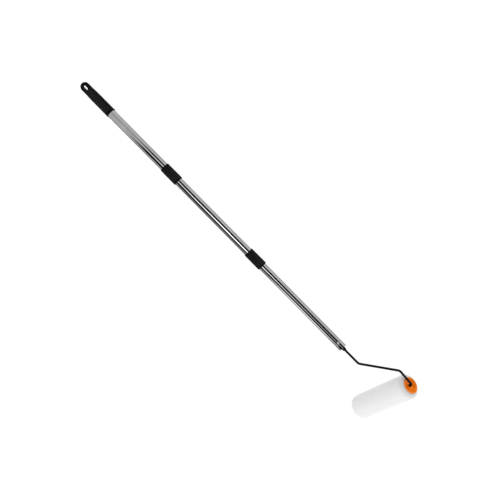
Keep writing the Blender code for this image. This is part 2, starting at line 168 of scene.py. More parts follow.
# Each step is (share of the direction along the pole from -Y to +Y, brightness).
STRIP_SHARES = [(-0.30, 1.00), (-0.20, 1.35), (-0.13, 2.50), (-0.096, 3.75), (-0.06, 4.20),
                (-0.01, 5.20), (0.03, 4.40), (0.07, 3.25), (0.12, 2.40)]
FLANK_SHARES = [(-0.085, 0.0), (-0.06, 2.20), (-0.01, 3.20), (0.03, 2.50), (0.08, 1.40), (0.11, 0.90)]
WALL_SHARES = [(-0.26, 0.50), (-0.235, 0.80), (-0.22, 1.30), (-0.20, 1.85), (-0.135, 1.95),
               (-0.108, 1.30), (-0.096, 0.75), (-0.06, 0.44), (0.08, 0.44), (0.15, 1.00)]
# Each step is (share along the pole, how far the soft light takes over from the others).
SOFT_SHARES = [(-0.55, 1.0), (-0.32, 0.0), (0.15, 0.0), (0.175, 0.70), (0.195, 0.94), (0.25, 0.90),
               (0.40, 0.42), (0.78, 0.42), (0.90, 1.0)]
# Each step is (share along the pole, how far the strip leans over, as a part of 180 degrees).
LEAN_SHARES = [(-0.27, 0.016), (-0.12, 0.0), (0.07, 0.0), (0.12, 0.042), (0.17, 0.056)]
# How much the wall's edge slants along the pole, and the soft light's edge over the tool.
WALL_SLANT = -0.40
SOFT_SLANT = -0.027
print("brightest place of the strip:", max(value for share, value in STRIP_SHARES))

# %% [markdown]
# The colour of the world is worked out from the direction of a ray: its angle over the tool, and
# its share along the pole. Colour ramps turn both into brightness, and Mix nodes join the ramps.

# %% Helpers for node trees
# A Mix node has its colour sockets after those for numbers and vectors.
MIX_FIRST = 6
MIX_SECOND = 7
MIX_RESULT = 2


def ramp_node(tree, steps, low, high, source):
    """A colour ramp of greys, with its steps placed between two ends of a range."""
    ramp = tree.nodes.new("ShaderNodeValToRGB")
    stops = ramp.color_ramp.elements
    while len(stops) < len(steps):
        stops.new(0.5)
    for stop, (place, value) in zip(stops, steps):
        stop.position = (place - low) / (high - low)
        stop.color = grey(value)
    tree.links.new(source, ramp.inputs[0])
    return ramp.outputs[0]


def blend(tree, kind, first, second, factor=None):
    """A Mix node that multiplies, adds or mixes two colours."""
    mix = tree.nodes.new("ShaderNodeMix")
    mix.data_type = "RGBA"
    mix.blend_type = kind
    mix.inputs["Factor"].default_value = 1.0
    if factor:
        tree.links.new(factor, mix.inputs["Factor"])
    tree.links.new(first, mix.inputs[MIX_FIRST])
    tree.links.new(second, mix.inputs[MIX_SECOND])
    return mix.outputs[MIX_RESULT]


def shifted(tree, value, by, start, rest=0.0):
    """A value times a number, on top of another value and a constant."""
    product = tree.nodes.new("ShaderNodeMath")
    product.operation = "MULTIPLY_ADD"
    product.inputs[1].default_value = by
    product.inputs[2].default_value = rest
    tree.links.new(value, product.inputs[0])
    total = tree.nodes.new("ShaderNodeMath")
    tree.links.new(product.outputs[0], total.inputs[0])
    tree.links.new(start, total.inputs[1])
    return total.outputs[0]


# %% Room
def ray_direction(tree):
    """The angle of a ray over the tool and its share along the pole, both brought to 0 to 1."""
    direction = tree.nodes.new("ShaderNodeTexCoord")
    split = tree.nodes.new("ShaderNodeSeparateXYZ")
    tree.links.new(direction.outputs["Generated"], split.inputs[0])
    arc = tree.nodes.new("ShaderNodeMath")
    arc.operation = "ARCTAN2"
    tree.links.new(split.outputs["Z"], arc.inputs[0])
    tree.links.new(split.outputs["X"], arc.inputs[1])
    angle = tree.nodes.new("ShaderNodeMapRange")
    angle.inputs["From Max"].default_value = math.pi
    tree.links.new(arc.outputs[0], angle.inputs["Value"])
    share = tree.nodes.new("ShaderNodeMapRange")
    share.inputs["From Min"].default_value = -1
    tree.links.new(split.outputs["Y"], share.inputs["Value"])
    return angle.outputs[0], share.outputs[0]


def paint_room(tree):
    """The strip, its flank and the wall, each fading along the pole, and the soft light."""
    angle, share = ray_direction(tree)
    lean_over = ramp_node(tree, LEAN_SHARES, -1, 1, share)
    strip_angle = shifted(tree, lean_over, 1.0, angle)
    wall_angle = shifted(tree, share, WALL_SLANT, angle, -WALL_SLANT / 2)
    soft_share = shifted(tree, angle, SOFT_SLANT, share)
    light = None
    for angles, shares, place in ((STRIP_ANGLES, STRIP_SHARES, strip_angle),
                                  (FLANK_ANGLES, FLANK_SHARES, strip_angle),
                                  (WALL_ANGLES, WALL_SHARES, wall_angle)):
        over = ramp_node(tree, angles, 0, 180, place)
        along = ramp_node(tree, shares, -1, 1, share)
        part = blend(tree, "MULTIPLY", over, along)
        light = blend(tree, "ADD", light, part) if light else part
    soft = ramp_node(tree, SOFT_ANGLES, 0, 180, angle)
    return blend(tree, "MIX", light, soft, ramp_node(tree, SOFT_SHARES, -1, 1, soft_share))


world = bpy.data.worlds.new("studio_room")
bpy.context.scene.world = world
world.use_nodes = True
room_light = paint_room(world.node_tree)
print("room painted with", len(world.node_tree.nodes), "nodes")

# %% [markdown]
# Only the tool sees the painted room. The camera sees a plain backdrop above the floor, which the
# Light Path node tells apart.

# %% Backdrop
BACKDROP_SHADE = 0.97


def hang_backdrop(tree, room):
    """Show the camera a plain backdrop, and everything else the room."""
    backdrop = tree.nodes.new("ShaderNodeRGB")
    backdrop.outputs[0].default_value = grey(BACKDROP_SHADE)
    rays = tree.nodes.new("ShaderNodeLightPath")
    shown = blend(tree, "MIX", room, backdrop.outputs[0], rays.outputs["Is Camera Ray"])
    tree.links.new(shown, tree.nodes["Background"].inputs["Color"])


hang_backdrop(world.node_tree, room_light)
print("backdrop of shade", BACKDROP_SHADE)

# %% [markdown]
# A soft lamp hangs over the roller and lights the nap from above. A weaker one stands low at the
# side and lights the end cap. Both are hidden from glossy rays, so that the tubes only reflect
# the painted room.

# %% Lamps
LAMP_PLACE = Vector((-0.90, -1.00, 2.20))
LAMP_AIM = Vector((0.0, -0.60, 0.04))
LAMP_SIDE = 1.6
LAMP_POWER = 21.0
FILL_PLACE = Vector((2.00, -0.75, 0.55))
FILL_SIDE = 0.8
FILL_POWER = 4.5


def add_lamp(name, place, side, power):
    """A square soft lamp that points at the roller."""
    bpy.ops.object.select_all(action="DESELECT")
    bpy.ops.object.light_add(type="AREA", location=place)
    lamp = bpy.context.object
    lamp.name = name
    lamp.data.size = side
    lamp.data.energy = power
    lamp.rotation_euler = (LAMP_AIM - place).to_track_quat("-Z", "Y").to_euler()
    lamp.visible_glossy = False
    print("%s of %.1f W" % (name, power))


add_lamp("soft_lamp", LAMP_PLACE, LAMP_SIDE, LAMP_POWER)
add_lamp("fill_lamp", FILL_PLACE, FILL_SIDE, FILL_POWER)

# %% [markdown]
# ## Finishes
#
# Every finish starts from the Principled shader. What is the same all over is set on its sockets,
# and what changes over the surface comes from noise on Object coordinates: a slow one for
# mottling, a finer one for roughness and a very fine one for grain.

# %% Helpers for finishes
def noise_on(finish, scale, stretch=(1, 1, 1), detail=3.0, turn=0.0):
    """Noise on Object coordinates, turned about X and stretched along the axes."""
    tree = finish.node_tree
    place = tree.nodes.new("ShaderNodeTexCoord")
    mapping = tree.nodes.new("ShaderNodeMapping")
    mapping.inputs["Rotation"].default_value = (turn, 0, 0)
    mapping.inputs["Scale"].default_value = stretch
    pattern = tree.nodes.new("ShaderNodeTexNoise")
    pattern.inputs["Scale"].default_value = scale
    pattern.inputs["Detail"].default_value = detail
    tree.links.new(place.outputs["Object"], mapping.inputs["Vector"])
    tree.links.new(mapping.outputs["Vector"], pattern.inputs["Vector"])
    return pattern.outputs["Fac"]


def colour_between(finish, factor, first, second, low=0.35, high=0.65):
    """Base colour that drifts between two colours with a pattern."""
    tree = finish.node_tree
    ramp = tree.nodes.new("ShaderNodeValToRGB")
    ramp.color_ramp.elements[0].position = low
    ramp.color_ramp.elements[0].color = (*first, 1)
    ramp.color_ramp.elements[1].position = high
    ramp.color_ramp.elements[1].color = (*second, 1)
    tree.links.new(factor, ramp.inputs[0])
    tree.links.new(ramp.outputs[0], tree.nodes["Principled BSDF"].inputs["Base Color"])


def blend_colour(finish, kind, shade):
    """Multiply or add another colour into the base colour of a finish."""
    tree = finish.node_tree
    socket = tree.nodes["Principled BSDF"].inputs["Base Color"]
    plain = socket.links[0].from_socket
    tree.links.new(blend(tree, kind, plain, shade), socket)


def roughness_between(finish, factor, low, high):
    """Roughness that drifts between two values with a pattern."""
    tree = finish.node_tree
    spread = tree.nodes.new("ShaderNodeMapRange")
    spread.inputs["To Min"].default_value = low
    spread.inputs["To Max"].default_value = high
    tree.links.new(factor, spread.inputs["Value"])
    tree.links.new(spread.outputs[0], tree.nodes["Principled BSDF"].inputs["Roughness"])


def grain_from(finish, factor, height, strength):
    """Bump of a real height in metres."""
    tree = finish.node_tree
    bump = tree.nodes.new("ShaderNodeBump")
    bump.inputs["Distance"].default_value = height
    bump.inputs["Strength"].default_value = strength
    tree.links.new(factor, bump.inputs["Height"])
    tree.links.new(bump.outputs["Normal"], tree.nodes["Principled BSDF"].inputs["Normal"])


# %% [markdown]
# The grip, the collars and the plug are moulded in one black plastic with a fine spark-eroded
# grain. The tops of the ribs are made paler: partly wear from hands, partly a painted highlight
# where the ribs would catch the light. How much each point gets is kept with the mesh as an
# attribute, which the finish reads. The wire has a smoother black coat. Both are kept nearly
# free of gloss, because the bright floor would otherwise whiten their edges.

# %% Black plastic and black coat
# Painted highlight on the rib tops, partly wear from hands: the attribute that marks it, and how much paler it
# makes them.
RIB_WEAR_AND_HIGHLIGHT = "rubbed"
RIB_WEAR_AND_HIGHLIGHT_LIFT = 0.021


def add_rib_wear_and_highlight(finish):
    """Make a finish paler where the mesh marks rib tops: wear and a painted highlight."""
    tree = finish.node_tree
    rubbed = tree.nodes.new("ShaderNodeAttribute")
    rubbed.attribute_name = RIB_WEAR_AND_HIGHLIGHT
    blend_colour(finish, "ADD", ramp_node(tree, [(0, 0), (1, RIB_WEAR_AND_HIGHLIGHT_LIFT)], 0, 1, rubbed.outputs["Fac"]))


black_plastic = new_finish("black_moulding", Specular_IOR_Level=0.07)
colour_between(black_plastic, noise_on(black_plastic, scale=55), (0.0018,) * 3, (0.0042,) * 3)
# Rib tops made paler: wear and a painted highlight.
add_rib_wear_and_highlight(black_plastic)
roughness_between(black_plastic, noise_on(black_plastic, scale=180), low=0.50, high=0.68)
grain_from(black_plastic, noise_on(black_plastic, scale=2600, detail=2), height=0.00025, strength=0.35)

black_coat = new_finish("black_coat", Specular_IOR_Level=0.12)
colour_between(black_coat, noise_on(black_coat, scale=240), (0.0012,) * 3, (0.0030,) * 3)
roughness_between(black_coat, noise_on(black_coat, scale=420), low=0.38, high=0.52)
grain_from(black_coat, noise_on(black_coat, scale=1500, detail=1), height=0.0001, strength=0.25)
print("black finishes made")

# %% [markdown]
# The tubes are bright drawn steel: a mirror with very fine lines along the pole, and a film of
# handling that makes the gloss uneven. The push nut is zinc plated and duller, and the rivet has a
# brighter plate.

# %% Steel
ALONG_POLE = (1.0, 0.02, 1.0)
EDGE_TINT = 0.20

bright_steel = new_finish("bright_steel", Metallic=1.0, Specular_Tint=grey(EDGE_TINT))
colour_between(bright_steel, noise_on(bright_steel, scale=26, detail=4), (0.37, 0.37, 0.375),
               (0.43, 0.43, 0.435))
film = noise_on(bright_steel, scale=700, stretch=ALONG_POLE, detail=2, turn=lean)
roughness_between(bright_steel, film, low=0.015, high=0.04)
lines = noise_on(bright_steel, scale=1800, stretch=ALONG_POLE, detail=2, turn=lean)
grain_from(bright_steel, lines, height=0.000005, strength=0.1)

zinc = new_finish("zinc_plate", Metallic=1.0)
colour_between(zinc, noise_on(zinc, scale=300, detail=5), (0.42, 0.43, 0.45), (0.60, 0.61, 0.62))
roughness_between(zinc, noise_on(zinc, scale=900), low=0.22, high=0.40)
grain_from(zinc, noise_on(zinc, scale=4000, detail=2), height=0.00002, strength=0.3)

rivet_metal = new_finish("rivet_metal", Metallic=1.0)
colour_between(rivet_metal, noise_on(rivet_metal, scale=400, detail=4), (0.84, 0.84, 0.85),
               (0.95, 0.95, 0.95))
roughness_between(rivet_metal, noise_on(rivet_metal, scale=1200), low=0.30, high=0.45)
grain_from(rivet_metal, noise_on(rivet_metal, scale=5000, detail=2), height=0.00001, strength=0.1)
print("steel finishes made")

# %% [markdown]
# The end caps are a strong orange plastic with a soft gloss. The hidden plastic pieces are left
# in the natural pale colour of the resin.

# %% Orange and pale plastic
orange_plastic = new_finish("orange_plastic", Specular_IOR_Level=0.24)
colour_between(orange_plastic, noise_on(orange_plastic, scale=70), (0.94, 0.245, 0.001),
               (1.0, 0.285, 0.002))
roughness_between(orange_plastic, noise_on(orange_plastic, scale=160), low=0.34, high=0.48)
grain_from(orange_plastic, noise_on(orange_plastic, scale=2200, detail=2), height=0.00015, strength=0.2)

pale_plastic = new_finish("pale_plastic", Specular_IOR_Level=0.4)
colour_between(pale_plastic, noise_on(pale_plastic, scale=90), (0.56, 0.56, 0.53), (0.66, 0.66, 0.63))
roughness_between(pale_plastic, noise_on(pale_plastic, scale=220), low=0.42, high=0.58)
grain_from(pale_plastic, noise_on(pale_plastic, scale=2400, detail=2), height=0.0002, strength=0.2)
print("plastic finishes made")

# %% [markdown]
# The nap is a white pile. Its tufts are modelled, so the finish only adds the fibres' soft
# sheen, a little grey that drifts at random and a fine fuzz. Towards both cut ends the base
# colour is darkened: painted shade for ends that turn away from the light.

# %% Nap
# Painted shade at both ends of the nap: the share of the base colour left at each end, and how far in it fades.
PAINTED_END_SHADE = 0.83
PAINTED_END_SHADE_LENGTH = 0.011


def paint_end_shade(finish, low, high):
    """Paint shade into the base colour towards both ends of a piece that lies along X."""
    tree = finish.node_tree
    place = tree.nodes.new("ShaderNodeTexCoord")
    split = tree.nodes.new("ShaderNodeSeparateXYZ")
    tree.links.new(place.outputs["Object"], split.inputs[0])
    along = tree.nodes.new("ShaderNodeMapRange")
    along.inputs["From Min"].default_value = low
    along.inputs["From Max"].default_value = high
    tree.links.new(split.outputs["X"], along.inputs["Value"])
    steps = [(low, PAINTED_END_SHADE), (low + PAINTED_END_SHADE_LENGTH, 1.0), (high - PAINTED_END_SHADE_LENGTH, 1.0),
             (high, PAINTED_END_SHADE)]
    blend_colour(finish, "MULTIPLY", ramp_node(tree, steps, low, high, along.outputs[0]))


white_nap = new_finish("white_nap", Specular_IOR_Level=0.05, Sheen_Weight=0.05, Sheen_Roughness=0.7)
colour_between(white_nap, noise_on(white_nap, scale=420, detail=5), (0.83, 0.83, 0.835),
               (0.905, 0.905, 0.905))
roughness_between(white_nap, noise_on(white_nap, scale=900), low=0.88, high=1.0)
grain_from(white_nap, noise_on(white_nap, scale=1700, detail=5), height=0.0006, strength=0.5)
sleeve_low, sleeve_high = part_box("roller_sleeve")
# Painted shade towards both ends of the nap.
paint_end_shade(white_nap, sleeve_low[0], sleeve_high[0])
print("nap finish made")

# %% [markdown]
# ## Turning on a lathe
#
# Most pieces are round. Each is turned from a profile: a circle is extruded from point to point
# and scaled to the next radius, and the last ring is bridged back to the first, so that a wall
# has its thickness. A Screw modifier could turn the same profile, but rings made one by one can
# be picked again for ribs and dents.

# %% Lathe
MERGE_GAP = 0.000001


def only(piece):
    """Select one object and make it the active one."""
    bpy.ops.object.select_all(action="DESELECT")
    piece.select_set(True)
    bpy.context.view_layer.objects.active = piece


def merge_points():
    """Merge the points that lie on each other in the mesh in edit mode."""
    bpy.ops.mesh.select_all(action="SELECT")
    bpy.ops.mesh.remove_doubles(threshold=MERGE_GAP)


def close_ends(ends):
    """Bridge or fill the open ends of the mesh in edit mode, and turn its faces outwards."""
    bpy.ops.mesh.select_mode(type="EDGE")
    bpy.ops.mesh.select_all(action="DESELECT")
    bpy.ops.mesh.select_non_manifold()
    if ends == "bridged":
        bpy.ops.mesh.bridge_edge_loops()
    else:
        bpy.ops.mesh.fill_holes(sides=0)
    bpy.ops.mesh.select_all(action="SELECT")
    bpy.ops.mesh.normals_make_consistent(inside=False)
    bpy.ops.object.mode_set(mode="OBJECT")


def lathe(name, profile, sides, ends="bridged"):
    """Turn (radius, height) points round Z. Ends are bridged into a wall, or filled."""
    bpy.ops.object.select_all(action="DESELECT")
    radius, height = profile[0]
    bpy.ops.mesh.primitive_circle_add(vertices=sides, radius=radius)
    piece = bpy.context.object
    piece.name = name
    bpy.ops.object.mode_set(mode="EDIT")
    bpy.ops.mesh.select_mode(type="VERT")
    bpy.ops.mesh.select_all(action="SELECT")
    bpy.ops.transform.translate(value=(0, 0, height))
    for next_radius, next_height in profile[1:]:
        rise = {"value": (0, 0, next_height - height)}
        bpy.ops.mesh.extrude_region_move(TRANSFORM_OT_translate=rise)
        growth = next_radius / radius
        bpy.ops.transform.resize(value=(growth, growth, 1), center_override=(0, 0, next_height))
        radius, height = next_radius, next_height
    close_ends(ends)
    return piece


# %% [markdown]
# A finished piece is carried from the origin to its place, and the move is applied to its mesh.
# Then it gets its finish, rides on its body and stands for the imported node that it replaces.

# %% Place and dress
SMOOTH_ANGLE = math.radians(32)


def carry(piece, matrix, smooth=SMOOTH_ANGLE):
    """Bring a piece that was modelled at the origin to its place, with the place in its mesh."""
    piece.matrix_world = matrix
    only(piece)
    bpy.ops.object.transform_apply(location=True, rotation=True, scale=True)
    bpy.ops.object.shade_smooth_by_angle(angle=smooth)


def dress(piece, finish, body, slot, *nodes):
    """Give a piece its finish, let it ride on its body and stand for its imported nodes."""
    piece.data.materials.clear()
    piece.data.materials.append(finish)
    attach(piece, body)
    if nodes:
        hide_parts(*nodes)
    faces = sum(len(polygon.vertices) - 2 for polygon in piece.data.polygons)
    print("%s: %d triangles, on %s" % (piece.name, faces, body))


# %% [markdown]
# ## Steel tubes
#
# Three thin tubes slide into each other. They are turned with many sides, because a mirror shows
# every flat. The lower tube is also pinched on its plug near the tip, which leaves a flat on two
# opposite sides. That stretch gets close rings, and their points are moved in towards a chord.

# %% Tubes
TUBE_SIDES = 128
TUBE_WALL = 0.0003
CREASE_ANGLE = math.radians(10)
PINCH_RING_STEP = 0.0005
PINCH_DEPTH = 0.00055
PINCH_FLATNESS = 0.6
PINCH_FULL = 0.0120
PINCH_END = 0.0165
PINCH_TURNS = [math.radians(angle) for angle in (-68, 112)]


def ease(value):
    """A smooth step from 0 to 1."""
    value = min(1.0, max(0.0, value))
    return value * value * (3 - 2 * value)


def tube_profile(low, high, radius, close_rings=0.0):
    """Outer wall up, inner wall down, with close rings on the first stretch of each."""
    stations = [low]
    while stations[-1] < low + close_rings:
        stations.append(stations[-1] + PINCH_RING_STEP)
    stations.append(high)
    outside = [(radius, station) for station in stations]
    inside = [(radius - TUBE_WALL, station) for station in reversed(stations)]
    return outside + inside


def pinch(tube, low):
    """Press a flat into two opposite sides of a tube at its lower end."""
    for vertex in tube.data.vertices:
        depth = PINCH_DEPTH * ease((low + PINCH_END - vertex.co.z) / (PINCH_END - PINCH_FULL))
        radius = vertex.co.xy.length
        turn = math.atan2(vertex.co.y, vertex.co.x)
        for centre in PINCH_TURNS:
            slope = math.cos(turn - centre)
            if slope * radius > radius - depth:
                flat = (radius - depth) / (slope * radius)
                vertex.co.xy *= 1 + (flat - 1) * PINCH_FLATNESS


for name, body in (("outer_tube", "handle"), ("middle_tube", "middle_section"),
                   ("lower_tube", "lower_section")):
    low, high = reach(name, pole)
    pinched = name == "lower_tube"
    profile = tube_profile(low.z, high.z, high.x, PINCH_END if pinched else 0.0)
    tube = lathe("polished_" + name, profile, TUBE_SIDES)
    if pinched:
        pinch(tube, low.z)
    carry(tube, pole, CREASE_ANGLE)
    dress(tube, bright_steel, body, "bright_steel", name)

# %% [markdown]
# ## Twist collars
#
# Each collar is a black sleeve that a hand can grip: a smooth rim at both ends and close ribs
# along it. The ribs are every second strip of faces between the rims, which are inset and raised
# in one step, so that their sides slope as moulded ribs do. A Bevel modifier then softens the
# edges, and the tops of the ribs are marked to be made paler: wear from hands and a painted highlight.

# %% Helpers for ribs and edges
def select_none(piece, kind):
    """Deselect a piece's whole mesh, and say whether points, edges or faces are picked next."""
    only(piece)
    bpy.ops.object.mode_set(mode="EDIT")
    bpy.ops.mesh.select_mode(type=kind)
    bpy.ops.mesh.select_all(action="DESELECT")
    bpy.ops.object.mode_set(mode="OBJECT")


def choose_faces(piece, wanted):
    """Select the faces of a piece that a test wants, ready for edit mode."""
    select_none(piece, "FACE")
    for face in piece.data.polygons:
        face.select = wanted(face)


def apply_last(piece):
    """Apply the newest modifier of a piece, and merge the points that it leaves on each other."""
    only(piece)
    bpy.ops.object.modifier_apply(modifier=piece.modifiers[-1].name)
    bpy.ops.object.mode_set(mode="EDIT")
    merge_points()
    bpy.ops.object.mode_set(mode="OBJECT")


def soften(piece, width, segments=2, limit=SMOOTH_ANGLE):
    """Round the sharp edges of a piece."""
    bevel = piece.modifiers.new("soft_edges", "BEVEL")
    bevel.width = width
    bevel.segments = segments
    bevel.limit_method = "ANGLE"
    bevel.angle_limit = limit
    apply_last(piece)


def mark_rib_wear_and_highlight(piece, share):
    """Keep with the mesh how much each point is worn and painted with highlight, from 0 to 1."""
    marks = piece.data.attributes.new(RIB_WEAR_AND_HIGHLIGHT, "FLOAT", "POINT")
    for vertex, mark in zip(piece.data.vertices, marks.data):
        mark.value = share(vertex.co)


# %% Collar shape
COLLAR_RIBS = 16
SIDES_PER_RIB = 8
COLLAR_TURN = math.radians(8)
COLLAR_RIM = 0.0040
COLLAR_CHAMFER = 0.0012
COLLAR_TAPER = 0.0003
COLLAR_LIP = 0.003
COLLAR_PLAY = 0.00015
RIM_DROP = 0.0002
MIDDLE_BAND = 0.003
RIB_HEIGHT = 0.0008
RIB_SLOPE = 0.0004
RIB_RUNOUT = 0.0010
RIB_EDGE = 0.00018


def collar_profile(low, high, low_bore, high_bore, bore, radius):
    """From the lower lip over the two rims to the upper lip, and back through the bore."""
    rim = radius - RIM_DROP
    wall = radius - RIB_HEIGHT
    high_rim = rim - COLLAR_TAPER
    high_wall = wall - COLLAR_TAPER
    return [
        (low_bore, low), (rim - COLLAR_CHAMFER, low), (rim, low + COLLAR_CHAMFER),
        (rim, low + COLLAR_RIM), (wall, low + COLLAR_RIM + RIB_HEIGHT),
        (wall, low + COLLAR_RIM + RIB_RUNOUT), (high_wall, high - COLLAR_RIM - RIB_RUNOUT),
        (high_wall, high - COLLAR_RIM - RIB_HEIGHT), (high_rim, high - COLLAR_RIM),
        (high_rim, high - COLLAR_CHAMFER), (high_rim - COLLAR_CHAMFER, high), (high_bore, high),
        (high_bore, high - COLLAR_LIP), (bore, high - COLLAR_LIP), (bore, low + COLLAR_LIP),
        (low_bore, low + COLLAR_LIP),
    ]


def raise_ribs(collar, low, high, bore):
    """Inset every second strip of the collar's wall outwards, which gives it sloped sides."""
    middle = (low + high) / 2
    step = math.tau / COLLAR_RIBS
    choose_faces(collar, lambda face: (
        math.hypot(face.center.x, face.center.y) > bore + COLLAR_PLAY
        and abs(face.center.z - middle) < MIDDLE_BAND
        and math.atan2(face.center.y, face.center.x) % step < step / 2))
    bpy.ops.object.mode_set(mode="EDIT")
    bpy.ops.mesh.inset(thickness=RIB_SLOPE, depth=RIB_HEIGHT)
    bpy.ops.object.mode_set(mode="OBJECT")


# %% Collars
for name, body, wide, thin in (("upper", "upper_lock", "outer_tube", "middle_tube"),
                               ("lower", "lower_lock", "middle_tube", "lower_tube")):
    low, high = reach(name + "_collar", pole)
    low_bore = reach(thin, pole)[1].x + COLLAR_PLAY
    high_bore = reach(wide, pole)[1].x + COLLAR_PLAY
    bore = reach(name + "_collet", pole)[1].x + COLLAR_PLAY
    profile = collar_profile(low.z, high.z, low_bore, high_bore, bore, high.x)
    collar = lathe("ribbed_%s_collar" % name, profile, COLLAR_RIBS * SIDES_PER_RIB)
    raise_ribs(collar, low.z, high.z, bore)
    soften(collar, RIB_EDGE)
    wall = high.x - RIB_HEIGHT
    rib_low = low.z + COLLAR_RIM + RIB_RUNOUT
    rib_high = high.z - COLLAR_RIM - RIB_RUNOUT
    # Painted highlight, partly wear, on the tops of the ribs between the rims.
    mark_rib_wear_and_highlight(collar, lambda point: (
        ease((point.xy.length - wall) / RIB_HEIGHT) if rib_low < point.z < rib_high else 0.0))
    carry(collar, pole @ Matrix.Rotation(COLLAR_TURN, 4, "Z"))
    dress(collar, black_plastic, body, "black_plastic", name + "_collar")

# %% [markdown]
# ## Grip
#
# The grip is round where the tube goes in and flattens towards its tail, where it has a hang
# hole. It is lofted: a straight tube of many rings is turned first, and then each point is moved
# to where a formula for the section puts it. The same formula sinks a panel with ribs for the
# fingers into both broad faces, and raises a border round the hole.

# %% Grip sizes
GRIP_SIDES = 120
GRIP_RING_STEP = 0.0030
GRIP_RING_CUTS = 6
GRIP_RADIUS = 0.01445
GRIP_BORE = 0.01285
MOUTH_LIP = 0.00045
MOUTH_LIP_LENGTH = 0.0055
SHOULDER_START = 0.059
SHOULDER_END = 0.088
TAB_HALF_WIDTH = 0.0138
TAB_HALF_THICKNESS = 0.00485
TAB_EDGE = 0.0028
TAB_SQUARENESS = 0.5
TAB_FLATNESS = 0.08
TAIL_ANGLES = [math.radians(angle) for angle in (0, 14, 27, 40, 52, 63, 72, 79, 84, 87.5, 89.5)]
SLOT_HALF_WIDTH = 0.0044
SLOT_HALF_LENGTH = 0.00875
SLOT_WALL = 0.0078
PANEL_START = 0.0085
PANEL_END = 0.0906
PANEL_HALF_WIDTH = 0.0116
PANEL_SOFT = 0.0014
PANEL_DEPTH = 0.0010
FINGER_RIB_PITCH = 0.0055
FINGER_RIB_HEIGHT = 0.0010
BORDER_WIDTH = 0.0026
BORDER_HEIGHT = 0.0005

grip_low, grip_high = reach("hand_grip", pole)
grip_length = grip_high.z - grip_low.z
slot_centre = grip_length - SLOT_WALL - SLOT_HALF_LENGTH
slot_spread = SLOT_HALF_LENGTH - SLOT_HALF_WIDTH
tab_normal = Vector(frame["record"]["mounts"][0]["axis"])
tab_turn = math.atan2(tab_normal.dot(up_direction), tab_normal.dot(side_direction))
print("grip length %.1f mm, tab turned %.1f degrees" % (grip_length * 1000, math.degrees(tab_turn)))

# %% Grip shape
def grip_skin(turn, along):
    """A point of the grip's outside, from the turn round it and the distance from its mouth."""
    slab = ease((along - SHOULDER_START) / (SHOULDER_END - SHOULDER_START))
    thickness = GRIP_RADIUS + (TAB_HALF_THICKNESS - GRIP_RADIUS) * slab
    width = GRIP_RADIUS + (TAB_HALF_WIDTH - GRIP_RADIUS) * slab
    lip = MOUTH_LIP * ease((MOUTH_LIP_LENGTH - along) / (MOUTH_LIP_LENGTH / 2))
    arc = max(0.0, along - (grip_length - TAB_HALF_WIDTH)) / TAB_HALF_WIDTH
    width *= math.sqrt(max(0.0, 1 - arc * arc))
    edge = min(1.0, (grip_length - along) / TAB_EDGE)
    thickness -= TAB_EDGE * (1 - math.sqrt(edge * (2 - edge)))
    power = 2 / (1 - TAB_SQUARENESS * slab)
    corner = (abs(math.cos(turn)) ** power + abs(math.sin(turn)) ** power) ** (-1 / power)
    across = math.cos(turn) * corner * (1 + TAB_FLATNESS * slab)
    across = thickness * min(1.0, max(-1.0, across))
    return Vector((across, width * math.sin(turn) * corner, 0)) * (1 + lip / GRIP_RADIUS)


def finger_panel(side, along):
    """How far a place is inside the ribbed panel of the broad face, and on top of a rib."""
    inside = ease((PANEL_HALF_WIDTH - abs(side)) / PANEL_SOFT)
    inside *= ease((along - PANEL_START) / PANEL_SOFT) * ease((PANEL_END - along) / PANEL_SOFT)
    wave = -math.cos(math.tau * (along - PANEL_END) / FINGER_RIB_PITCH)
    return inside, ease(0.5 + wave)


def broad_face(across):
    """1 on the two broad faces, falling to 0 towards the edges between them."""
    return ease(abs(across) / TAB_HALF_THICKNESS * 2 - 1)


def hole_border(side, along):
    """How much the border round the hang hole lifts the broad face at a place."""
    beyond = max(0.0, abs(along - slot_centre) - slot_spread)
    outside = math.hypot(side, beyond) - SLOT_HALF_WIDTH
    return BORDER_HEIGHT * ease((BORDER_WIDTH - outside) / (BORDER_WIDTH / 2))


print("grip is %.1f mm thick at its hole" % (2000 * grip_skin(0.0, slot_centre).x))

# %% Grip body
ROUNDING = 1e-6


def add_rings(piece, radius, cuts):
    """Cut more rings into the outside of a turned piece, from this radius outwards."""
    select_none(piece, "EDGE")
    points = [vertex.co for vertex in piece.data.vertices]
    for edge in piece.data.edges:
        low, high = (points[index] for index in edge.vertices)
        outside = min(low.xy.length, high.xy.length) > radius - ROUNDING
        edge.select = outside and abs(high.z - low.z) > ROUNDING
    bpy.ops.object.mode_set(mode="EDIT")
    bpy.ops.mesh.subdivide(number_cuts=cuts)
    bpy.ops.object.mode_set(mode="OBJECT")


def grip_profile(socket_depth):
    """The blind bore, the mouth, rings along the body, and rings on an arc round the tail."""
    arc_start = grip_length - TAB_HALF_WIDTH
    count = round(arc_start / GRIP_RING_STEP)
    stations = [arc_start * i / count for i in range(count)]
    stations += [arc_start + TAB_HALF_WIDTH * math.sin(angle) for angle in TAIL_ANGLES]
    return [(GRIP_BORE, socket_depth), (GRIP_BORE, 0.0)] + [(GRIP_RADIUS, station) for station in stations]


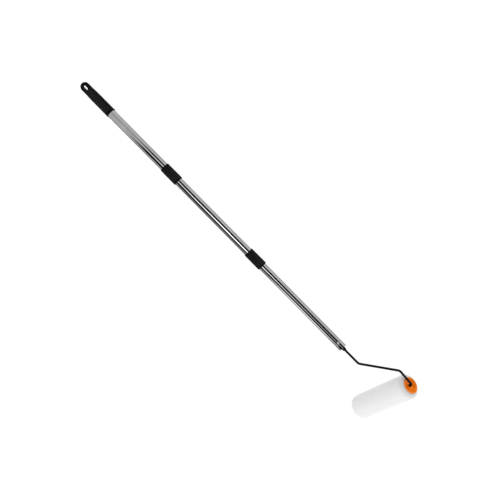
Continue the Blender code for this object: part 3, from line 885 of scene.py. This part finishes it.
socket_depth = reach("outer_tube", pole)[1].z - grip_low.z + COLLAR_PLAY
grip = lathe("ribbed_grip", grip_profile(socket_depth), GRIP_SIDES, ends="filled")
add_rings(grip, GRIP_RADIUS, GRIP_RING_CUTS)
for vertex in grip.data.vertices:
    if math.hypot(vertex.co.x, vertex.co.y) < (GRIP_RADIUS + GRIP_BORE) / 2:
        continue
    along = vertex.co.z
    skin = grip_skin(math.atan2(vertex.co.y, vertex.co.x), along)
    inside, rib = finger_panel(skin.y, along)
    lift = inside * (FINGER_RIB_HEIGHT * rib - PANEL_DEPTH) + hole_border(skin.y, along)
    skin.x += lift * broad_face(skin.x) * math.copysign(1, skin.x)
    vertex.co = (skin.x, skin.y, along)
print("grip points:", len(grip.data.vertices))

# %% [markdown]
# The hang hole is cut with a Boolean. Its cutter is a round bar that is split in the middle and
# pulled apart into a slot.

# %% Hang hole
CUTTER_LENGTH = 0.04
CUTTER_SIDES = 48

bpy.ops.object.select_all(action="DESELECT")
bpy.ops.mesh.primitive_cylinder_add(vertices=CUTTER_SIDES, radius=SLOT_HALF_WIDTH, depth=CUTTER_LENGTH)
cutter = bpy.context.object
select_none(cutter, "VERT")
for vertex in cutter.data.vertices:
    vertex.select = vertex.co.x > 0
bpy.ops.object.mode_set(mode="EDIT")
bpy.ops.transform.translate(value=(2 * slot_spread, 0, 0))
bpy.ops.object.mode_set(mode="OBJECT")
across_tail = Matrix.Rotation(-math.pi / 2, 4, "Y")
cutter.matrix_world = (Matrix.Translation((0, 0, slot_centre)) @ across_tail
                       @ Matrix.Translation((-slot_spread, 0, 0)))
hole = grip.modifiers.new("hang_hole", "BOOLEAN")
hole.object = cutter
hole.solver = "EXACT"
apply_last(grip)
bpy.data.objects.remove(cutter)
# Painted highlight, partly wear, on the tops of the finger ribs on the broad faces.
mark_rib_wear_and_highlight(grip, lambda point: broad_face(point.x) * math.prod(finger_panel(point.y, point.z)))
carry(grip, pole @ Matrix.Translation((0, 0, grip_low.z)) @ Matrix.Rotation(-tab_turn, 4, "Z"))
dress(grip, black_plastic, "handle", "black_plastic", "hand_grip")

# %% [markdown]
# ## Plug and rivet
#
# A black plug closes the lower tube and holds the wire. Its nose tapers in two steps with a
# groove between them. A blind rivet goes through the tube's wall into the plug: a low dome with a
# dimple where its pin broke off.

# %% Plug
PLUG_SIDES = 72
PLUG_EDGE = 0.0003
PLUG_EDGE_SEGMENTS = 3
WIRE_PLAY = 0.00015
NOSE_LENGTH = 0.010
NOSE_TIP_RADIUS = 0.00515
NOSE_BASE_RADIUS = 0.00675
NOSE_STEP = 0.0012
GROOVE_DEPTH = 0.0009
GROOVE_LOW = 0.0030
GROOVE_HIGH = 0.0020
GROOVE_SLOPE = 0.0002

plug_low, plug_high = reach("tip_plug", pole)
wire_low, wire_high = reach("wire_frame", tool)
wire_radius = (wire_high.z - wire_low.z) / 2
plug_bore = wire_radius + WIRE_PLAY
stem_radius = plug_high.x
neck_radius = stem_radius - PINCH_DEPTH
taper_radius = NOSE_BASE_RADIUS - NOSE_STEP
groove_radius = taper_radius - GROOVE_DEPTH
tip = plug_low.z + NOSE_LENGTH
plug_profile = [
    (plug_bore, plug_low.z), (NOSE_TIP_RADIUS, plug_low.z),
    (taper_radius, tip - GROOVE_LOW - GROOVE_SLOPE), (groove_radius, tip - GROOVE_LOW),
    (groove_radius, tip - GROOVE_HIGH), (NOSE_BASE_RADIUS, tip - GROOVE_HIGH + GROOVE_SLOPE),
    (NOSE_BASE_RADIUS, tip - GROOVE_SLOPE), (neck_radius, tip), (neck_radius, tip + PINCH_END),
    (stem_radius, tip + PINCH_END), (stem_radius, plug_high.z), (plug_bore, plug_high.z),
]
plug = lathe("stepped_plug", plug_profile, PLUG_SIDES)
soften(plug, PLUG_EDGE, PLUG_EDGE_SEGMENTS)
carry(plug, pole)
dress(plug, black_plastic, "lower_section", "black_plastic", "tip_plug")

# %% Rivet
RIVET_SIDES = 40
DOME_STEPS = 7
SHANK_SHARE = 0.55
SHANK_DEPTH = 0.0035
HEAD_HEIGHT = 0.0014
HEAD_EDGE = 0.00015
PIN_RADIUS = 0.0009
PIN_DEPTH = 0.0005
PIN_TAPER = 0.8

rivet_low, rivet_high = reach("tip_rivet", pole)
rivet_middle = (rivet_low + rivet_high) / 2
rivet_turn = math.atan2(rivet_middle.y, rivet_middle.x)
head_radius = (rivet_high.z - rivet_low.z) / 2
shank_radius = head_radius * SHANK_SHARE
seat = reach("lower_tube", pole)[1].x
edge = seat + HEAD_EDGE
top = seat + HEAD_HEIGHT
rivet_profile = [(shank_radius, seat - SHANK_DEPTH), (shank_radius, seat), (head_radius, edge)]
for i in range(1, DOME_STEPS):
    lift = math.pi / 2 * i / DOME_STEPS
    rivet_profile.append((head_radius * math.cos(lift), edge + HEAD_HEIGHT * math.sin(lift)))
rivet_profile += [(PIN_RADIUS, top), (PIN_RADIUS * PIN_TAPER, top - PIN_DEPTH)]
rivet = lathe("domed_rivet", rivet_profile, RIVET_SIDES, ends="filled")
out_of_tube = Matrix.Rotation(rivet_turn, 4, "Z") @ Matrix.Rotation(math.pi / 2, 4, "Y")
carry(rivet, pole @ Matrix.Translation((0, 0, rivet_middle.z)) @ out_of_tube)
dress(rivet, rivet_metal, "lower_section", "zinc_steel", "tip_rivet")

# %% [markdown]
# ## Wire
#
# The wire is bent from one rod, so it is modelled as it is bent: a circle is extruded along each
# straight run, and spun round the bend's centre at each corner.

# %% Wire route
# Places are in the tool's own directions, from the point of the axle in line with the pole.
STEM_BEND = 0.1268
LEG_BEND = Vector((0.1008, 0.0531, 0))
HOOK_BEND = Vector((0.0956, 0, 0))
ELBOW_RADIUS = 0.010
HOOK_RADIUS = 0.006

corners = [Vector((0, wire_high.y, 0)), Vector((0, STEM_BEND, 0)), LEG_BEND, HOOK_BEND,
           Vector((wire_low.x, 0, 0))]
bend_radii = [ELBOW_RADIUS, ELBOW_RADIUS, HOOK_RADIUS]
runs = [(after - before).length for before, after in zip(corners, corners[1:])]
print("wire runs in mm:", [round(run * 1000) for run in runs])

# %% Wire
WIRE_SIDES = 24
BEND_STEPS = 10
WIRE_EDGE = 0.0004
WIRE_EDGE_ANGLE = math.radians(60)


def bend_along(corners, radii):
    """Extrude the selected ring along each straight run, and spin it round each bend."""
    here = corners[0]
    for before, corner, after, radius in zip(corners, corners[1:], corners[2:], radii):
        inward = (corner - before).normalized()
        onward = (after - corner).normalized()
        bend = inward.angle(onward)
        start = corner - inward * radius * math.tan(bend / 2)
        centre = start + (onward - inward * inward.dot(onward)).normalized() * radius
        bpy.ops.mesh.extrude_region_move(TRANSFORM_OT_translate={"value": start - here})
        bpy.ops.mesh.spin(steps=BEND_STEPS, angle=-bend, center=centre, axis=inward.cross(onward))
        here = corner + onward * radius * math.tan(bend / 2)
    bpy.ops.mesh.extrude_region_move(TRANSFORM_OT_translate={"value": corners[-1] - here})


bpy.ops.object.select_all(action="DESELECT")
bpy.ops.mesh.primitive_circle_add(vertices=WIRE_SIDES, radius=wire_radius, location=corners[0],
                                  rotation=(math.pi / 2, 0, 0))
wire = bpy.context.object
wire.name = "bent_wire"
bpy.ops.object.transform_apply(location=True, rotation=True, scale=True)
bpy.ops.object.mode_set(mode="EDIT")
bpy.ops.mesh.select_mode(type="VERT")
bpy.ops.mesh.select_all(action="SELECT")
bend_along(corners, bend_radii)
merge_points()
close_ends("filled")
soften(wire, WIRE_EDGE, limit=WIRE_EDGE_ANGLE)
carry(wire, tool)
dress(wire, black_coat, "lower_section", "black_wire", "wire_frame")

# %% [markdown]
# ## End caps
#
# An orange cap closes each end of the roller: a rounded rim, a dished face with flat spokes and a
# hub for the axle. The cap is turned, and the spokes are faces of the dish that are extruded up.

# %% Cap shape
SPOKES = 8
SPOKE_SHARE = 0.17
SPOKE_HEIGHT = 0.0009
FACING_UP = 0.9
CAP_EDGE = 0.0003
RIM_WIDTH = 0.0030
RIM_ROUND = 0.0012
RIM_STEPS = 5
DISH_DEPTH = 0.0095
DISH_SLOPE = 0.0030
DISH_FILLET = 0.0012
HUB_RADIUS = 0.00825
HUB_STAND = 0.0025
HUB_BORE = 0.00525
HUB_LENGTH = 0.012
SPIGOT_RADIUS = 0.02035
SPIGOT_WALL = 0.002
SPIGOT_LENGTH = 0.016
CAP_SKIN = 0.0018
CAP_SEAT = 0.00015


def cap_profile(radius, rim):
    """From the hub's bore over the dish and the rim to the spigot in the core, and back."""
    dish = rim - DISH_DEPTH
    rim_inner = radius - RIM_WIDTH
    hub_top = dish + HUB_STAND
    turns = [math.pi / 2 * i / RIM_STEPS for i in range(RIM_STEPS + 1)]
    rim_arc = [(radius - RIM_ROUND * (1 - math.sin(turn)), rim - RIM_ROUND * (1 - math.cos(turn)))
               for turn in turns]
    return [
        (HUB_BORE, hub_top), (HUB_RADIUS, hub_top), (HUB_RADIUS + CAP_EDGE, dish),
        (HUB_RADIUS + DISH_FILLET, dish), (rim_inner - DISH_SLOPE - DISH_FILLET, dish),
        (rim_inner - DISH_SLOPE, dish), (rim_inner, rim - CAP_EDGE), (rim_inner + CAP_EDGE, rim),
        *rim_arc, (radius, CAP_SEAT), (SPIGOT_RADIUS, CAP_SEAT), (SPIGOT_RADIUS, -SPIGOT_LENGTH),
        (SPIGOT_RADIUS - SPIGOT_WALL, -SPIGOT_LENGTH), (SPIGOT_RADIUS - SPIGOT_WALL, dish - CAP_SKIN),
        (HUB_RADIUS, dish - CAP_SKIN), (HUB_RADIUS, dish - HUB_LENGTH), (HUB_BORE, dish - HUB_LENGTH),
    ]


def raise_spokes(cap, dish):
    """Extrude spokes out of the flat of the dish."""
    step = math.tau / SPOKES
    choose_faces(cap, lambda face: (
        face.normal.z > FACING_UP and abs(face.center.z - dish) < CAP_SEAT
        and math.hypot(face.center.x, face.center.y) > HUB_RADIUS
        and math.atan2(face.center.y, face.center.x) % step < step * SPOKE_SHARE))
    bpy.ops.object.mode_set(mode="EDIT")
    bpy.ops.mesh.extrude_region_move(TRANSFORM_OT_translate={"value": (0, 0, SPOKE_HEIGHT)})
    bpy.ops.object.mode_set(mode="OBJECT")


# %% Caps
CAP_SIDES = 96
CAP_FLARE = 0.0008
CAP_EDGE_ANGLE = math.radians(40)

core_low, core_high = reach("sleeve_core", axle)
near_cap_high = reach("near_end_cap", axle)[1]
rim = near_cap_high.z - core_high.z
cap_radius = near_cap_high.x + CAP_FLARE
for side, place, turn in (("near", core_high.z, 0.0), ("far", core_low.z, math.pi)):
    cap = lathe("dished_%s_cap" % side, cap_profile(cap_radius, rim), CAP_SIDES)
    raise_spokes(cap, rim - DISH_DEPTH)
    soften(cap, CAP_EDGE, limit=CAP_EDGE_ANGLE)
    carry(cap, axle @ Matrix.Translation((0, 0, place)) @ Matrix.Rotation(turn, 4, "X"))
    dress(cap, orange_plastic, "roller", "orange_plastic", side + "_end_cap")

# %% [markdown]
# ## Nap
#
# The nap is a thick white pile on the core. A smooth solid would look like plaster, so its skin
# has a fine grid whose points are pushed in and out by noise: long soft clumps and small tufts.

# %% Nap shape
NAP_RING_STEP = 0.0036
NAP_END_ROUND = 0.016
NAP_END_DROP = 0.012
NAP_END_STEPS = 6
CLUMP_SIZE = 0.009
CLUMP_DEPTH = 0.0005
TUFT_SIZE = 0.0034
TUFT_DEPTH = 0.0008
FUZZ_SIZE = 0.0012
FUZZ_DEPTH = 0.0002


def nap_profile(low, high, radius, bore):
    """The bore, a rounded end, the long wall, and the other rounded end."""
    turns = [math.pi / 2 * i / NAP_END_STEPS for i in range(NAP_END_STEPS + 1)]
    end = [(radius - NAP_END_DROP * (1 - math.sin(turn)), NAP_END_ROUND * (1 - math.cos(turn)))
           for turn in turns]
    length = high - low - 2 * NAP_END_ROUND
    count = round(length / NAP_RING_STEP)
    straight = [(radius, low + NAP_END_ROUND + length * i / count) for i in range(1, count)]
    lower_end = [(out, low + inset) for out, inset in end]
    upper_end = [(out, high - inset) for out, inset in reversed(end)]
    return [(bore, low), *lower_end, *straight, *upper_end, (bore, high)]


def ruffle(point, normal):
    """Where a point of the skin goes when the pile is ruffled into tufts."""
    nearest = noise.voronoi(point / TUFT_SIZE)[0][0]
    tuft = math.sqrt(max(0.0, 1 - nearest * nearest)) - 1
    clump = noise.noise(point / CLUMP_SIZE) - 1
    fuzz = noise.noise(point / FUZZ_SIZE) - 1
    return point + normal * (tuft * TUFT_DEPTH + clump * CLUMP_DEPTH / 2 + fuzz * FUZZ_DEPTH / 2)


# %% Nap body
NAP_SIDES = 360
NAP_RING_CUTS = 3
NAP_END_TRIM = 0.0012

nap_low, nap_high = reach("roller_sleeve", axle)
nap_bore = core_high.x + CAP_SEAT
pile_start = nap_bore + CAP_SEAT
profile = nap_profile(nap_low.z + NAP_END_TRIM, nap_high.z - NAP_END_TRIM, nap_high.x, nap_bore)
nap = lathe("ruffled_nap", profile, NAP_SIDES)
add_rings(nap, pile_start, NAP_RING_CUTS)
skin = [(vertex.co.copy(), vertex.normal.copy()) for vertex in nap.data.vertices]
for vertex, (point, normal) in zip(nap.data.vertices, skin):
    if point.xy.length > pile_start:
        vertex.co = ruffle(point, normal)
carry(nap, axle)
bpy.ops.object.shade_smooth()
dress(nap, white_nap, "roller", "white_nap", "roller_sleeve")

# %% [markdown]
# ## Pieces that stay
#
# The collets, glides, core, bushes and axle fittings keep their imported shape. They only get
# finishes.

# %% Hidden pieces and small fittings
for finish, names in (
        (pale_plastic, ("upper_collet", "lower_collet", "middle_glide", "lower_glide", "sleeve_core")),
        (orange_plastic, ("near_bush", "far_bush", "near_washer", "far_washer")),
        (black_coat, ("axle_stop_ring",)),
        (zinc, ("push_nut",))):
    for name in names:
        frame["nodes"][name].data.materials.clear()
        frame["nodes"][name].data.materials.append(finish)
    print(finish.name, "on", ", ".join(names))

# %% [markdown]
# ## Update
#
# The view layer is brought up to date before the scene is finished.

# %% Update the view layer
bpy.context.view_layer.update()
